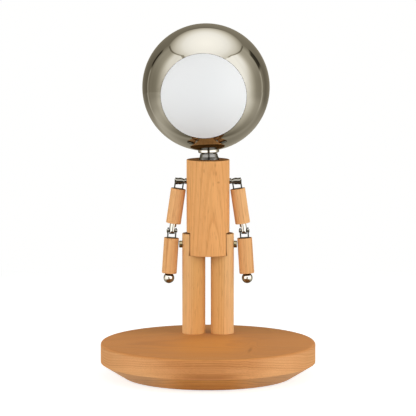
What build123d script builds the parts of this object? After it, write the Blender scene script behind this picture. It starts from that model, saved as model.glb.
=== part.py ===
from build123d import *
from math import cos, hypot, radians, sin, tan
import os

# Robot shaped desk lamp. Millimetres, +Z up, the face of the lamp looks along -Y.
# The origin is the centre of the round base, on the surface that the lamp stands on.
# "left" and "right" are as seen by someone who faces the lamp: left is -X.

# ---------------------------------------------------------------- driving dimensions

# turned wooden base
base_radius = 125.0
base_top = 40.0
base_side_bottom = 17.0
base_foot_radius = 99.0
base_edge_round = 3.0

# felt under the base, let into a shallow recess so that it stands only a little proud
felt_radius = 93.0
felt_thickness = 2.0
felt_proud = 0.8
recess_gap = 0.3

# wiring pocket under the legs, closed by a thin plate
pocket_half_width = 22.0
pocket_front = 46.0
pocket_back = 82.0
pocket_roof = 16.0
well_half_width = 12.0
well_front = 74.0
well_roof = 31.0
plate_thickness = 3.0
plate_margin = 7.0
plate_screw_inset = 4.2
plate_screw_radius = 1.5
plate_screw_length = 12.0
plate_screw_head = 2.8
plate_screw_head_height = 1.6
pilot_gap = 0.05
pilot_extra = 0.5

# cord inlet in the back of the base
inlet_height = 25.0
inlet_radius = 3.2
bush_radius = 5.5
bush_flange_radius = 8.0
bush_flange = 2.0
bush_length = 14.0
cord_hole_radius = 4.2

# the figure stands behind the middle of the base
figure_y = 62.0

# legs
leg_radius = 13.7
leg_x = 16.9
leg_top = 159.4
tenon_radius = 10.0
tenon_length = 18.0
wire_radius = 2.5
wire_y = figure_y + 6.5

# torso
torso_radius = 25.4
torso_bottom = 134.0
torso_top = 247.0
neck_bore_depth = 70.0
wire_hole_end = 66.0
wire_hole_start = 3.0
flat_x = 21.2
flat_top = 161.0
lap_gap = 0.05
lap_seat_half = 9.5
lap_groove = 0.6
lap_relief = 0.8
lap_relief_height = 6.0
wood_round = 0.8

# hip bolt and its round nuts
hip_height = 146.2
hip_bolt_radius = 2.0
hip_nut_radius = 4.1
hip_nut_end = 34.3
hip_nut_round = 0.7
hip_bolt_sunk = 1.0

# arms: hinge lines, lengths along each limb and the slant of each limb
limb_radius = 8.8
limb_round = 0.5
shoulder_x = 33.65
shoulder_z = 221.3
elbow_z = 162.0
elbow_x = 42.7
upper_start = 9.1
upper_length = 41.6
upper_slant = 8.4
fore_start = 8.3
fore_length = 42.2
fore_slant = 3.8
hand_radius = 6.4
hand_distance = 56.2
hand_stud_radius = 2.0
hand_stud_depth = 10.0

# bent strip brackets
strip_thickness = 1.6
strip_sunk = 1.0
bend_radius = 2.2
shoulder_span = 9.5
shoulder_ear_radius = 3.5
elbow_span = 9.2
elbow_ear_radius = 3.8
bracket_screw_radius = 1.4
bracket_screw_head = 2.4
bracket_screw_sink = 1.0
bracket_screw_length = 13.0
seat_gap = 0.1

# pins, studs and running clearance
running_clearance = 0.06
shoulder_pin_radius = 2.0
shoulder_pin_head = 2.7
shoulder_collar_radius = 3.4
shoulder_collar_end = 27.2
washer_gap = 0.3
shoulder_shank_radius = 2.5
shoulder_shank_depth = 14.0
shoulder_head_proud = 0.25
sleeve_radius = 4.0
sleeve_neck_radius = 3.4
sleeve_step = 31.2
sleeve_groove_start = 34.9
sleeve_groove_end = 35.5
sleeve_groove_radius = 3.5
elbow_pin_radius = 1.6
elbow_pin_head = 2.5
rivet_height = 0.7
rivet_slope = 0.9
tongue_radius = 3.9
tongue_half_thickness = 3.25
tongue_flat_height = 4.8
tongue_end_radius = 3.7
stud_radius = 2.5
stud_depth = 14.0

# neck: the hole in the torso is a little off the middle and a little out of square
neck_x = 1.1
neck_lean = 2.35
spotface_radius = 12.8
spotface_depth = 0.55
collar_foot_radius = 12.2
collar_waist_radius = 10.8
collar_waist = 3.4
collar_top_radius = 10.1
collar_height = 6.7
collar_foot_height = 0.6
journal_radius = 7.2
journal_top = 12.6
nipple_radius = 5.0
nipple_bore = 3.5
nipple_bottom = -34.0
nipple_top = 22.0
ring_radius = 12.4
ring_bottom = 7.9
ring_lip_top = 12.4
ring_top = 17.4
ring_round = 1.7
ring_counterbore = 9.3
lock_nut_radius = 8.8
lock_nut_bottom = 12.9
lock_nut_top = 16.1
globe_nut_radius = 15.0
globe_nut_bottom = 12.0
globe_hole_gap = 0.1

# globe and its window
globe_radius = 75.0
globe_wall = 2.4
globe_height = 85.3
globe_hole_radius = 11.0
window_half_angle = 41.8
window_down = 6.8
window_turn = 2.8
window_ledge = 2.6
window_seam = 0.35
window_sunk = 0.15

# lamp holder and its plug-in bulb
holder_radius = 9.0
holder_bottom = 16.3
holder_top = 37.0
bulb_radius = 8.0
bulb_top = 86.0
bulb_base_top = 52.0
bulb_pin_gap = 4.5
bulb_pin_radius = 0.8
bulb_pin_length = 8.0
socket_radius = 1.0
socket_depth = 9.0
bulb_body_inset = 0.6

# how far a cutting shape runs past the small parts of the arms
cut_reach = 8.0

os.makedirs("parts", exist_ok=True)


# ---------------------------------------------------------------- helpers

def upright(radius, bottom, top, x=0.0, y=0.0):
    """A cylinder that stands on Z."""
    return Pos(x, y, (bottom + top) / 2) * Cylinder(radius, top - bottom)


def along_x(radius, start, end, y, z):
    """A cylinder that lies on X."""
    return Pos((start + end) / 2, y, z) * Rot(0, 90, 0) * Cylinder(radius, abs(end - start))


def turned(points):
    """A solid turned about Z from (radius, height) points."""
    outline = Plane.XZ * make_face(Polyline(*points, close=True))
    return revolve(outline, Axis.Z)


def turned_on_x(points, y, z):
    """A solid turned about a line along X, from (x, radius) points."""
    outline = make_face(Polyline(*points, close=True))
    return Pos(0, y, z) * revolve(outline, Axis.X)


def rims(solid, height):
    """The round edges of a solid at one height."""
    circles = solid.edges().filter_by(GeomType.CIRCLE)
    return [edge for edge in circles if abs(edge.center().Z - height) < 0.01]


def block(low, high):
    """A box from its lowest corner to its highest."""
    size = [b - a for a, b in zip(low, high)]
    middle = [(a + b) / 2 for a, b in zip(low, high)]
    return Pos(*middle) * Box(*size)


def save(name, solid):
    solid.label = name
    export_step(solid, f"parts/{name}.step")


# ---------------------------------------------------------------- base

wood_underside = felt_proud
plate_bottom = felt_thickness
plate_top = plate_bottom + plate_thickness
plate_half_width = pocket_half_width + plate_margin
plate_front = pocket_front - plate_margin
plate_back = pocket_back + plate_margin
pocket_middle = (pocket_front + pocket_back) / 2
screw_x = plate_half_width - plate_screw_inset
screw_rows = (plate_front + plate_screw_inset, plate_back - plate_screw_inset)
screw_places = [(side * screw_x, y) for side in (-1, 1) for y in screw_rows]


def make_base():
    """A disc with a rounded top edge and a bevelled foot, worked from below for the wiring."""
    disc = turned([
        (0, wood_underside),
        (base_foot_radius, wood_underside),
        (base_radius, base_side_bottom),
        (base_radius, base_top),
        (0, base_top),
    ])
    disc = fillet(rims(disc, base_top), base_edge_round)
    disc -= upright(felt_radius + recess_gap, 0, felt_thickness)
    disc -= rounded_plate(plate_bottom - 1, plate_top, recess_gap)
    disc -= block((-pocket_half_width, pocket_front, 0), (pocket_half_width, pocket_back, pocket_roof))
    disc -= block((-well_half_width, well_front, 0), (well_half_width, pocket_back, well_roof))
    rear = Pos(0, 0, inlet_height) * Rot(-90, 0, 0)
    disc -= rear * upright(cord_hole_radius, pocket_back - 1, base_radius)
    disc -= rear * upright(bush_radius, base_radius - bush_length, base_radius + 1)
    for side in (-1, 1):
        disc -= upright(tenon_radius, base_top - tenon_length, base_top, side * leg_x, figure_y)
    disc -= upright(wire_radius, 0, base_top, leg_x, wire_y)
    pilot_top = plate_bottom + plate_screw_length + pilot_extra
    for x, y in screw_places:
        disc -= upright(plate_screw_radius + pilot_gap, 0, pilot_top, x, y)
    return disc


def rounded_plate(bottom, top, grow=0.0):
    """The outline of the pocket's plate, or of the rebate that it lies in."""
    width = 2 * (plate_half_width + grow)
    depth = plate_back - plate_front + 2 * grow
    outline = Pos(0, pocket_middle, bottom) * RectangleRounded(width, depth, plate_margin + grow)
    return extrude(outline, top - bottom)


def make_plate():
    plate = rounded_plate(plate_bottom, plate_top)
    hole = countersunk_screw(plate_thickness + 1)
    for x, y in screw_places:
        plate -= Pos(x, y, 0) * hole
    return plate


def countersunk_screw(length):
    """A countersunk screw of the plate: it points up, and its head is flush with the plate."""
    return turned([
        (0, plate_bottom),
        (plate_screw_head, plate_bottom),
        (plate_screw_radius, plate_bottom + plate_screw_head_height),
        (plate_screw_radius, plate_bottom + length),
        (0, plate_bottom + length),
    ])


def make_plate_screws():
    one = countersunk_screw(plate_screw_length)
    return Compound([Pos(x, y, 0) * one for x, y in screw_places])


def make_bush():
    """A flanged plastic bush that lines the hole where the cord goes in."""
    bush = turned([
        (inlet_radius, base_radius - bush_length),
        (bush_radius, base_radius - bush_length),
        (bush_radius, base_radius),
        (bush_flange_radius, base_radius),
        (bush_flange_radius - 1, base_radius + bush_flange),
        (inlet_radius, base_radius + bush_flange),
    ])
    return Pos(0, 0, inlet_height) * Rot(-90, 0, 0) * bush


save("base_disc", make_base())
save("felt_pad", upright(felt_radius, 0, felt_thickness))
save("pocket_plate", make_plate())
save("plate_screws", make_plate_screws())
save("cord_bush", make_bush())


# ---------------------------------------------------------------- legs, torso and hip bolt

def make_leg(side):
    """A round leg with a tenon below and half of its top cut away to lap the torso."""
    x = side * leg_x
    leg = upright(leg_radius, base_top, leg_top, x, figure_y)
    leg = fillet(rims(leg, leg_top), wood_round)
    leg -= lap_cut(side)
    leg += upright(tenon_radius, base_top - tenon_length, base_top, x, figure_y)
    leg -= along_x(hip_bolt_radius, side * flat_x, side * (leg_x + leg_radius + 1), figure_y, hip_height)
    if side > 0:
        leg -= upright(wire_radius, 0, torso_bottom, x, wire_y)
    return leg


def lap_cut(side):
    """What the top of a leg loses: its inner half, and a groove down each edge of the joint."""
    face = flat_x + lap_gap
    groove = face + lap_groove
    outline = [
        (-torso_radius, torso_bottom),
        (groove + lap_relief, torso_bottom),
        (groove, torso_bottom + lap_relief_height),
        (groove, leg_top + 1),
        (-torso_radius, leg_top + 1),
    ]
    profile = Plane.XZ * make_face(Polyline(*[(side * x, z) for x, z in outline], close=True))
    grooved = Pos(0, 2 * figure_y, 0) * extrude(profile, 2 * figure_y)
    near, far = sorted((side * face, side * (groove + lap_relief)))
    front, back = figure_y - lap_seat_half, figure_y + lap_seat_half
    return grooved - block((near, front, torso_bottom), (far, back, leg_top + 1))


def make_torso():
    """A round block with two flats for the legs, bored for the bolt, the pins and the wires."""
    torso = upright(torso_radius, torso_bottom, torso_top, 0, figure_y)
    torso = fillet(rims(torso, torso_top) + rims(torso, torso_bottom), wood_round)
    for side in (-1, 1):
        near, far = sorted((side * flat_x, side * (torso_radius + 1)))
        torso -= block((near, 0, torso_bottom - 1), (far, 2 * figure_y, flat_top))
        deep = side * (torso_radius - shoulder_shank_depth)
        torso -= along_x(shoulder_shank_radius, deep, side * torso_radius, figure_y, shoulder_z)
    torso -= along_x(hip_bolt_radius, -torso_radius, torso_radius, figure_y, hip_height)
    torso -= neck * upright(spotface_radius, -spotface_depth, 3)
    torso -= neck * upright(nipple_radius, -neck_bore_depth, 0)
    torso -= slanted_wire_hole()
    return torso


def slanted_wire_hole():
    """The wires leave the leg behind the hip bolt and climb to the bore under the neck."""
    start = Vector(leg_x, wire_y, torso_bottom - wire_hole_start)
    end = Vector(0, figure_y + 2, torso_top - wire_hole_end)
    run = end - start
    place = Plane(origin=start, z_dir=run)
    return place * upright(wire_radius, 0, run.length)


def make_hip_nut(side):
    """A round nut, its outer edge well rounded."""
    inner = side * (leg_x + leg_radius)
    nut = along_x(hip_nut_radius, inner, side * hip_nut_end, figure_y, hip_height)
    outer_rim = [edge for edge in nut.edges().filter_by(GeomType.CIRCLE)
                 if abs(edge.center().X - side * hip_nut_end) < 0.01]
    nut = fillet(outer_rim, hip_nut_round)
    return nut - along_x(hip_bolt_radius, inner, side * hip_bolt_end, figure_y, hip_height)


neck = Pos(neck_x, figure_y, torso_top) * Rot(0, -neck_lean, 0)
hip_bolt_end = hip_nut_end - hip_bolt_sunk
for name, side in (("left", -1), ("right", 1)):
    save(f"leg_{name}", make_leg(side))
    save(f"hip_nut_{name}", make_hip_nut(side))
save("hip_bolt", along_x(hip_bolt_radius, -hip_bolt_end, hip_bolt_end, figure_y, hip_height))
save("torso_block", make_torso())


# ---------------------------------------------------------------- arms

def across_joint(radius, side, x, z):
    """A cylinder along a hinge line, longer than the joint is wide."""
    return along_x(radius, side * (x - cut_reach), side * (x + cut_reach), figure_y, z)


def limb_place(side, x, z, slant):
    """The frame of a limb: its origin on the hinge line, its -Z along the limb."""
    return Pos(side * x, figure_y, z) * Rot(0, -side * slant, 0)


def make_bracket(span, ear_radius, wood_face):
    """A strip bent to a U: a bridge let into the wood, and two ears with round ends."""
    half = span / 2
    outer = half + strip_thickness / 2
    inner = half - strip_thickness / 2
    bridge_bottom = -wood_face - strip_sunk
    bridge_top = bridge_bottom + strip_thickness
    reach = ear_radius + 1
    u_shape = block((-outer, -ear_radius, bridge_bottom), (outer, ear_radius, reach))
    bends = [edge for edge in u_shape.edges().filter_by(Axis.Y) if edge.center().Z < bridge_top]
    u_shape = fillet(bends, bend_radius)
    u_shape -= block((-inner, -ear_radius, bridge_top), (inner, ear_radius, reach))
    ear = Rot(0, 90, 0) * Cylinder(ear_radius, 2 * outer)
    ear += block((-outer, -ear_radius, bridge_bottom), (outer, ear_radius, 0))
    return (u_shape & ear) - make_bracket_screw(wood_face)


def make_bracket_screw(wood_face):
    """A countersunk wood screw through the bridge of a bracket, its head flush with the bridge."""
    seat = -wood_face - strip_sunk + strip_thickness
    return turned([
        (0, seat),
        (bracket_screw_head, seat),
        (bracket_screw_radius, seat - bracket_screw_sink),
        (bracket_screw_radius, seat - bracket_screw_length),
        (0, seat - bracket_screw_length),
    ])


def make_limb(start, length, span, ear_radius):
    """A round wooden limb with a shallow seat for its bracket and the hole for its screw."""
    wood = upright(limb_radius, -start - length, -start)
    wood = fillet(rims(wood, -start) + rims(wood, -start - length), limb_round)
    outer = span / 2 + strip_thickness / 2 + seat_gap
    seat = ear_radius + seat_gap
    wood -= block((-outer, -seat, -start - strip_sunk), (outer, seat, -start))
    screw_end = -start - strip_sunk + strip_thickness - bracket_screw_length
    return wood - upright(bracket_screw_radius, screw_end, -start)


def make_shoulder_pin(side):
    """A pin turned in one piece: shank in the torso, collar, journal and a flush countersunk head."""
    points = [
        (torso_radius - shoulder_shank_depth, 0),
        (torso_radius - shoulder_shank_depth, shoulder_shank_radius),
        (torso_radius, shoulder_shank_radius),
        (torso_radius, shoulder_collar_radius),
        (shoulder_collar_end, shoulder_collar_radius),
        (shoulder_collar_end, shoulder_pin_radius),
        (shoulder_head_start, shoulder_pin_radius),
        (shoulder_head_end, shoulder_pin_head),
        (shoulder_head_end, 0),
    ]
    return turned_on_x([(side * x, r) for x, r in points], figure_y, shoulder_z)


def shoulder_bore(side):
    """The hole that the shoulder pin turns in, with its countersink at the outer end."""
    bore = shoulder_pin_radius + running_clearance
    points = [
        (shoulder_collar_end - 2, 0),
        (shoulder_collar_end - 2, bore),
        (shoulder_head_start, bore),
        (shoulder_head_end + 1, shoulder_pin_head + running_clearance + 1),
        (shoulder_head_end + 1, 0),
    ]
    return turned_on_x([(side * x, r) for x, r in points], figure_y, shoulder_z)


def make_shoulder_sleeve(side, place):
    """A stepped and grooved sleeve brazed between the ears, and a wedge washer on the inner ear."""
    inner = shoulder_span / 2 - strip_thickness / 2
    outer = inner + strip_thickness
    far = side * (shoulder_x + cut_reach)
    groove = (side * sleeve_groove_start, side * sleeve_groove_end, figure_y, shoulder_z)
    tube = along_x(sleeve_radius, side * sleeve_step, far, figure_y, shoulder_z)
    tube -= along_x(sleeve_radius + 1, *groove) - along_x(sleeve_groove_radius, *groove)
    tube += across_joint(sleeve_neck_radius, side, shoulder_x, shoulder_z)
    tube &= place * block((-inner, -cut_reach, -cut_reach), (inner, cut_reach, cut_reach))
    washer_start = side * (shoulder_collar_end + washer_gap)
    washer = along_x(sleeve_neck_radius, washer_start, side * shoulder_x, figure_y, shoulder_z)
    near, far = sorted((-side * outer, -side * cut_reach))
    washer &= place * block((near, -cut_reach, -cut_reach), (far, cut_reach, cut_reach))
    bore = shoulder_bore(side)
    return Compound([tube - bore, washer - bore])


def make_tongue(side, place):
    """A stud in the end of the upper arm whose flattened eye goes between the ears of the elbow."""
    drop = hypot(elbow_x - shoulder_x, shoulder_z - elbow_z)
    start = upper_start + upper_length
    stud = upright(tongue_radius, -drop - cut_reach, -start)
    stud += upright(stud_radius, -start, -start + stud_depth)
    rounded_end = across_joint(tongue_end_radius, side, elbow_x, elbow_z)
    rounded_end += block((-2 * elbow_x, 0, elbow_z), (2 * elbow_x, 2 * figure_y, shoulder_z))
    tongue = place * stud & rounded_end
    for away in (-1, 1):
        face = side * elbow_x + away * tongue_half_thickness
        near, far = sorted((face, face + away * cut_reach))
        tongue -= block((near, 0, elbow_z - cut_reach), (far, 2 * figure_y, elbow_z + tongue_flat_height))
    return tongue - across_joint(elbow_pin_radius + running_clearance, side, elbow_x, elbow_z)


def make_elbow_pin(side):
    """A pin riveted over the outside of both ears."""
    slant = radians(fore_slant)
    ear_face = (elbow_span + strip_thickness) / 2 / cos(slant) + elbow_pin_head * tan(slant)
    head_top = ear_face + rivet_height
    points = [
        (-head_top, 0),
        (-head_top, elbow_pin_head - rivet_slope),
        (-ear_face, elbow_pin_head),
        (-ear_face, elbow_pin_radius),
        (ear_face, elbow_pin_radius),
        (ear_face, elbow_pin_head),
        (head_top, elbow_pin_head - rivet_slope),
        (head_top, 0),
    ]
    return turned_on_x([(side * elbow_x + x, r) for x, r in points], figure_y, elbow_z)


def make_hand():
    """A steel ball with a stud, drawn up into a dimple in the end of the forearm."""
    ball = Pos(0, 0, -hand_distance) * Sphere(hand_radius)
    return ball + upright(hand_stud_radius, -hand_distance, -fore_start - fore_length + hand_stud_depth)


shoulder_ear_face = shoulder_x + (shoulder_span + strip_thickness) / 2 / cos(radians(upper_slant))
shoulder_head_end = shoulder_ear_face + shoulder_head_proud
shoulder_head_start = shoulder_head_end - (shoulder_pin_head - shoulder_pin_radius)

for name, side in (("left", -1), ("right", 1)):
    upper = limb_place(side, shoulder_x, shoulder_z, upper_slant)
    fore = limb_place(side, elbow_x, elbow_z, fore_slant)
    upper_wood = make_limb(upper_start, upper_length, shoulder_span, shoulder_ear_radius)
    upper_end = -upper_start - upper_length
    upper_wood -= upright(stud_radius, upper_end, upper_end + stud_depth)
    fore_wood = make_limb(fore_start, fore_length, elbow_span, elbow_ear_radius)
    fore_wood -= make_hand()
    shoulder_strip = upper * make_bracket(shoulder_span, shoulder_ear_radius, upper_start)
    elbow_strip = fore * make_bracket(elbow_span, elbow_ear_radius, fore_start)
    elbow_pin_line = across_joint(elbow_pin_radius, side, elbow_x, elbow_z)
    save(f"shoulder_pin_{name}", make_shoulder_pin(side))
    save(f"shoulder_bracket_{name}", shoulder_strip - shoulder_bore(side))
    save(f"shoulder_sleeve_{name}", make_shoulder_sleeve(side, upper))
    save(f"shoulder_screw_{name}", upper * make_bracket_screw(upper_start))
    save(f"upper_arm_{name}", upper * upper_wood)
    save(f"elbow_tongue_{name}", make_tongue(side, upper))
    save(f"elbow_bracket_{name}", elbow_strip - elbow_pin_line)
    save(f"elbow_pin_{name}", make_elbow_pin(side))
    save(f"elbow_screw_{name}", fore * make_bracket_screw(fore_start))
    save(f"forearm_{name}", fore * fore_wood)
    save(f"hand_ball_{name}", fore * make_hand())


# ---------------------------------------------------------------- neck

def make_neck_collar():
    """The tapered collar on the torso, with the journal that the head turns on."""
    return turned([
        (nipple_radius, -spotface_depth),
        (collar_foot_radius, -spotface_depth),
        (collar_foot_radius, collar_foot_height),
        (collar_waist_radius, collar_waist),
        (collar_top_radius, collar_height),
        (journal_radius, collar_height),
        (journal_radius, journal_top),
        (nipple_radius, journal_top),
    ])


def make_neck_ring():
    """The polished ring under the globe: it turns on the journal and carries the globe."""
    ring = turned([
        (journal_radius + running_clearance, ring_bottom),
        (ring_radius, ring_bottom),
        (ring_radius, ring_top),
        (ring_counterbore, ring_top),
        (ring_counterbore, ring_lip_top),
        (journal_radius + running_clearance, ring_lip_top),
    ])
    ring = fillet([edge for edge in rims(ring, ring_bottom) if edge.radius > ring_radius - 1], ring_round)
    spigot = upright(globe_hole_radius - globe_hole_gap, ring_bottom, ring_top)
    seat = globe_ball(globe_radius) - spigot
    return ring - seat


def globe_ball(radius):
    return Pos(0, 0, globe_height) * Sphere(radius)


def make_globe_nut():
    """The flat nut inside the globe that clamps the wall onto the neck ring."""
    nut = upright(globe_nut_radius, globe_nut_bottom, ring_top)
    nut -= upright(globe_hole_radius - globe_hole_gap, globe_nut_bottom, ring_top)
    return nut & globe_ball(globe_radius - globe_wall)


def make_holder():
    """A ceramic lamp holder with two sockets for the pins of the bulb."""
    holder = turned([
        (nipple_radius, holder_bottom),
        (holder_radius - 1.5, holder_bottom),
        (holder_radius, holder_bottom + 3),
        (holder_radius, holder_top - 1),
        (holder_radius - 1, holder_top),
        (0, holder_top),
        (0, nipple_top),
        (nipple_radius, nipple_top),
    ])
    for side in (-1, 1):
        holder -= upright(socket_radius, holder_top - socket_depth, holder_top, side * bulb_pin_gap)
    return holder


def make_bulb():
    """A small plug-in bulb: a round body with two pins, and a clear rounded tube above it."""
    body = upright(bulb_radius - bulb_body_inset, holder_top, bulb_base_top)
    for side in (-1, 1):
        body += upright(bulb_pin_radius, holder_top - bulb_pin_length, holder_top, side * bulb_pin_gap)
    tube = upright(bulb_radius, bulb_base_top, bulb_top)
    tube = fillet(rims(tube, bulb_top), bulb_radius - 0.5)
    return body, tube


nipple = upright(nipple_radius, nipple_bottom, nipple_top) - upright(nipple_bore, nipple_bottom, nipple_top)
lock_nut = upright(lock_nut_radius, lock_nut_bottom, lock_nut_top)
lock_nut -= upright(nipple_radius, lock_nut_bottom, lock_nut_top)
bulb_body, bulb_tube = make_bulb()
save("neck_nipple", neck * nipple)
save("neck_collar", neck * make_neck_collar())
save("lock_nut", neck * lock_nut)
save("lamp_holder", neck * make_holder())
save("bulb_body", neck * bulb_body)
save("bulb_tube", neck * bulb_tube)
save("neck_ring", neck * make_neck_ring())
save("globe_nut", neck * make_globe_nut())


# ---------------------------------------------------------------- globe and window

globe_centre = (neck * Pos(0, 0, globe_height)).position
window_axis = Vector(
    -sin(radians(window_turn)) * cos(radians(window_down)),
    -cos(radians(window_turn)) * cos(radians(window_down)),
    -sin(radians(window_down)),
)
window_radius = globe_radius * sin(radians(window_half_angle))
window_place = Plane(origin=globe_centre, z_dir=window_axis)


def sphere_at_globe(radius):
    return Pos(globe_centre) * Sphere(radius)


def window_column(radius):
    """A column along the window's axis, from the middle of the globe outwards."""
    return window_place * upright(radius, 0, globe_radius + 5)


def make_globe():
    """The mirror shell: a ball wall with a hole for the neck and a stepped opening for the window."""
    rebate_radius = globe_radius - globe_wall / 2
    shell = sphere_at_globe(globe_radius) - sphere_at_globe(globe_radius - globe_wall)
    shell -= neck * upright(globe_hole_radius, 0, globe_height / 2)
    shell -= window_column(window_radius) - sphere_at_globe(rebate_radius)
    return shell - window_column(window_radius - window_ledge)


def make_window():
    """The opal window: a cap of a slightly smaller ball that lies on the ledge of the opening."""
    cap = sphere_at_globe(globe_radius - window_sunk) - sphere_at_globe(globe_radius - globe_wall / 2)
    return cap & window_column(window_radius - window_seam)


save("globe_shell", make_globe())
save("window_lens", make_window())
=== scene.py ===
# %% [markdown]
# # A wooden desk lamp in the shape of a robot
# The lamp is a small wooden figure on a round turned base. Its head is a mirror ball with a white
# window, and its arms hang on steel hinges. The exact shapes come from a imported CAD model, so this
# lesson doesn't model them again. It looks after everything a camera notices: light, wood grain,
# mirror plating, steel, brass and felt. Loading the model first means that each finish can be
# placed by real measurements.

# %% Load the lamp and measure it
from math import cos, pi, radians, sin

import bmesh
import bpy
from mathutils import Euler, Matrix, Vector


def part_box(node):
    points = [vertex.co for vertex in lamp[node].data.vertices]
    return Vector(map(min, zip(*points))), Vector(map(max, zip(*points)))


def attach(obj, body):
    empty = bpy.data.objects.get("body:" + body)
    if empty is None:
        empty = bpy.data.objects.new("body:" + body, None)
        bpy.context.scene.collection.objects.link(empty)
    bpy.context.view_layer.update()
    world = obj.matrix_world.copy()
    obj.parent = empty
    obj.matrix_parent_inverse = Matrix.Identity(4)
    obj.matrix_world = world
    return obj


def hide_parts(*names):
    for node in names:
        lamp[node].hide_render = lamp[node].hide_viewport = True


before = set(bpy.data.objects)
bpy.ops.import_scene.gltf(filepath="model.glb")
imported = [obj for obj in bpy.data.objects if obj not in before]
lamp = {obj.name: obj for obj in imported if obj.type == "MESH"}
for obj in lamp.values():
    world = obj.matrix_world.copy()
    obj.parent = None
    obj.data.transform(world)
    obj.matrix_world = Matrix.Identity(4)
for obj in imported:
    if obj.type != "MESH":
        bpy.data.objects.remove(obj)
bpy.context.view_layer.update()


# %% [markdown]
# ## The camera
# A lamp for a desk is judged at eye level, a little from above. A long lens from almost three
# metres away keeps the legs and the globe in true proportion, because a short lens close by would
# swell the globe. The camera could be aimed by hand in the viewport. Numbers are used here, so that
# the picture can be made again at any time.

# %% Camera: a long lens, looking slightly down
LENS = 217.0
EYE_PLACE = (-0.00006, -2.88435, 0.52647)
EYE_TILT = 83.47  # degrees: 0 looks straight down, 90 straight ahead


def into_scene(name, data):
    """Makes an object of a camera, a lamp or a mesh, and puts it into the scene."""
    thing = bpy.data.objects.new(name, data)
    bpy.context.scene.collection.objects.link(thing)
    return thing


eye = bpy.data.cameras.new("studio_camera")
eye.lens, eye.sensor_width = LENS, 36.0
eye.clip_start, eye.clip_end = 0.1, 60.0
camera = into_scene("studio_camera", eye)
camera.location = EYE_PLACE
camera.rotation_euler = (radians(EYE_TILT), 0.0, 0.0)
bpy.context.scene.camera = camera
bpy.context.scene.view_settings.view_transform = "Standard"
print("camera looks down by", round(90 - EYE_TILT, 2), "degrees through a", LENS, "mm lens")

# %% [markdown]
# ## Little tools for node trees
# A finish in Blender is a graph of nodes. Building it by hand in the shader editor is fine for one
# piece of wood, but this lamp has eight of them. So these few helpers place a node, fill its
# sockets with numbers or with other nodes, and hand back its output. Every recipe below is then
# only a few readable lines.

# %% Helpers: place a node and do sums
def fill(socket, value):
    """Links another node's output to a socket, or writes a plain number or colour into it."""
    if isinstance(value, bpy.types.NodeSocket):
        socket.id_data.links.new(value, socket)
    elif socket.type == "RGBA" and len(value) == 3:
        socket.default_value = (*value, 1.0)
    else:
        socket.default_value = value


def place(tree, kind, sockets, **options):
    """A new node of that kind, with its options set and its sockets filled."""
    new = tree.nodes.new("ShaderNode" + kind)
    for name, value in options.items():
        setattr(new, name, value)
    for name, value in sockets.items():
        fill(new.inputs[name], value)
    return new


def calc(tree, operation, *values):
    """One sum of Blender's Math node."""
    return place(tree, "Math", dict(enumerate(values)), operation=operation).outputs[0]


def times(tree, first, *others):
    """Multiplies any number of values."""
    for other in others:
        first = calc(tree, "MULTIPLY", first, other)
    return first


def less(tree, value, taken):
    """value minus what is taken from it."""
    return calc(tree, "SUBTRACT", value, taken)


def scaled(tree, value, factor, start):
    """start plus factor times value."""
    return calc(tree, "MULTIPLY_ADD", value, factor, start)


def rise(tree, value, low, high, start=0.0, end=1.0):
    """A soft step: start below low, end above high."""
    limits = {"Value": value, "From Min": low, "From Max": high, "To Min": start, "To Max": end}
    return place(tree, "MapRange", limits, interpolation_type="SMOOTHSTEP").outputs[0]


print("helpers for sums ready")


# %% Helpers: places and distances
def object_place(tree):
    """Where a point lies on its piece: the pattern stays on the piece when the piece moves."""
    return tree.nodes.new("ShaderNodeTexCoord").outputs["Object"]


def axes(tree, at):
    """The three parts of a place: X to the right, Y away from the camera, Z up."""
    return place(tree, "SeparateXYZ", {0: at}).outputs


def stretch(tree, at, x, y, z):
    """Scales the place where a texture is read, each way by its own number."""
    return place(tree, "VectorMath", {0: at, 1: (x, y, z)}, operation="MULTIPLY").outputs[0]


def far_from(tree, at, point=(0.0, 0.0, 0.0)):
    """How far a place is from a point."""
    return place(tree, "VectorMath", {0: at, 1: point}, operation="DISTANCE").outputs["Value"]


print("helpers for places ready")


# %% Helpers: shades, noise and relief
def mix(tree, amount, first, second, how="MIX"):
    """amount of the second colour over the first."""
    new = place(tree, "Mix", {}, data_type="RGBA", blend_type=how)
    for index, value in ((0, amount), (6, first), (7, second)):
        fill(new.inputs[index], value)
    return new.outputs[2]


def toned(tree, amount, colour, factors):
    """Multiplies the three channels of a colour by factors, where amount says so."""
    return mix(tree, amount, colour, mix(tree, 1.0, colour, factors, "MULTIPLY"))


def ramp(tree, value, *stops):
    """Turns a number into a shade: stops are (position, grey or colour), from low to high."""
    new = place(tree, "ValToRGB", {0: value})
    points = new.color_ramp.elements
    points.remove(points[1])
    for index, (position, shade) in enumerate(stops):
        point = points[0] if index == 0 else points.new(position)
        point.position = position
        point.color = (*shade, 1.0) if isinstance(shade, tuple) else (shade, shade, shade, 1.0)
    return new.outputs[0]


def noise(tree, at, waves, detail=2.0, roughness=0.5):
    """Soft noise. waves: how many to the metre, one number or one each for X, Y and Z."""
    x, y, z = waves if isinstance(waves, tuple) else (waves, waves, waves)
    return place(tree, "TexNoise", {"Vector": stretch(tree, at, x, y, z), "Scale": 1.0,
                                    "Detail": detail, "Roughness": roughness}).outputs[0]


def bump(tree, height, depth):
    """Relief for a shader: height runs from 0 to 1, depth is in metres."""
    return place(tree, "Bump", {"Height": height, "Distance": depth, "Strength": 1.0}).outputs[0]


print("helpers for shades ready")


# %% Helpers: make, change and put on a finish
def new_finish(name, **even):
    """A fresh finish. Values that are even all over go straight onto the shader's own sockets."""
    finish = bpy.data.materials.new(name)
    finish.use_nodes = True
    shader = finish.node_tree.nodes["Principled BSDF"]
    for socket, value in even.items():
        fill(shader.inputs[socket.replace("_", " ")], value)
    return finish, finish.node_tree, shader.inputs


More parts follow.
